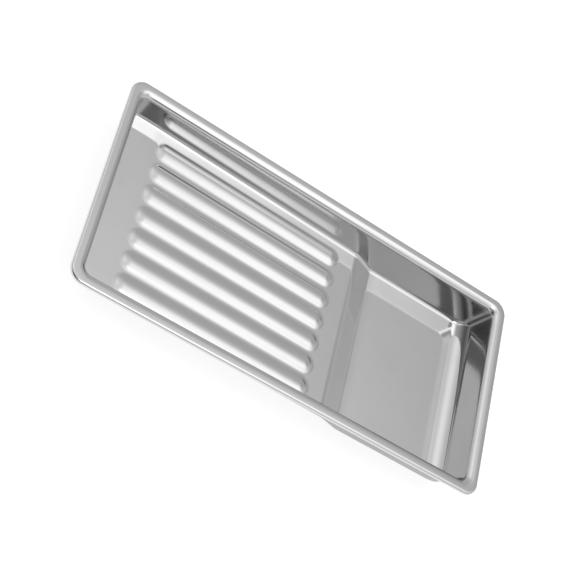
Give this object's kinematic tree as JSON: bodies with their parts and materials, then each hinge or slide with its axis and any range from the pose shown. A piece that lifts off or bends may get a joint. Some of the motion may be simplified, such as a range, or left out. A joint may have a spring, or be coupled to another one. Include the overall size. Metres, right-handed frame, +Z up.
{
  "type": "mud pan",
  "caption": "Seamless drawn stainless-steel pan: a shallow shelf pressed with lengthwise ribs slopes into a deeper flat well, inside a wire-stiffened rolled rim.",
  "frame": {"origin": "under the middle of the pan, on the plane that the well's underside rests on", "axes": "+X along the pan towards the deep well, +Z up out of the open top"},
  "size_m": [0.313, 0.15, 0.03],
  "materials": {
    "polished_sheet": "polished",
    "drawn_wire": "drawn, bare"
  },
  "bodies": {
    "root": {"pan_shell": "polished_sheet", "rim_wire": "drawn_wire"}
  },
  "joints": []
}
